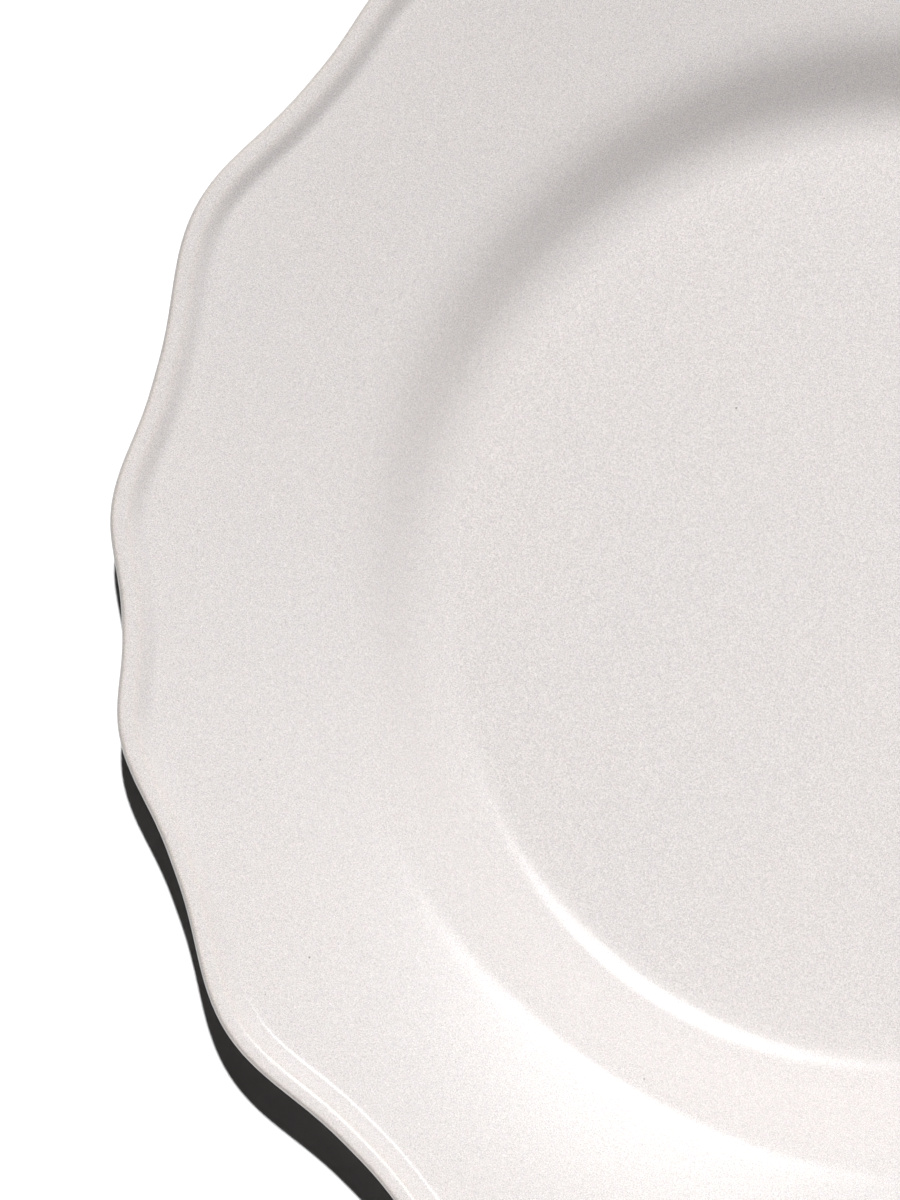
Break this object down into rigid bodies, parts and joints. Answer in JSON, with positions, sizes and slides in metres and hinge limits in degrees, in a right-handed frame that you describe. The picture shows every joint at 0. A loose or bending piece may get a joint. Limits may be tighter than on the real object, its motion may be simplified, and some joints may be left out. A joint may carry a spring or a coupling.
{
  "type": "dessert plate",
  "caption": "Round dessert plate with a flat-floored well, a sloping rim, a scalloped edge with a raised lip, and a foot ring underneath",
  "frame": {"origin": "Centre of the foot ring's ground plane: the point on the table under the middle of the plate.", "axes": "+Z is the plate's axis and points up, out of the well. +X points at the middle of a big lobe of the rim, and big lobes repeat every 60 degrees from there."},
  "size_m": [0.214, 0.2104, 0.0231],
  "materials": {
    "glazed_body": "gloss"
  },
  "bodies": {
    "root": {"plate": "glazed_body"}
  },
  "joints": []
}
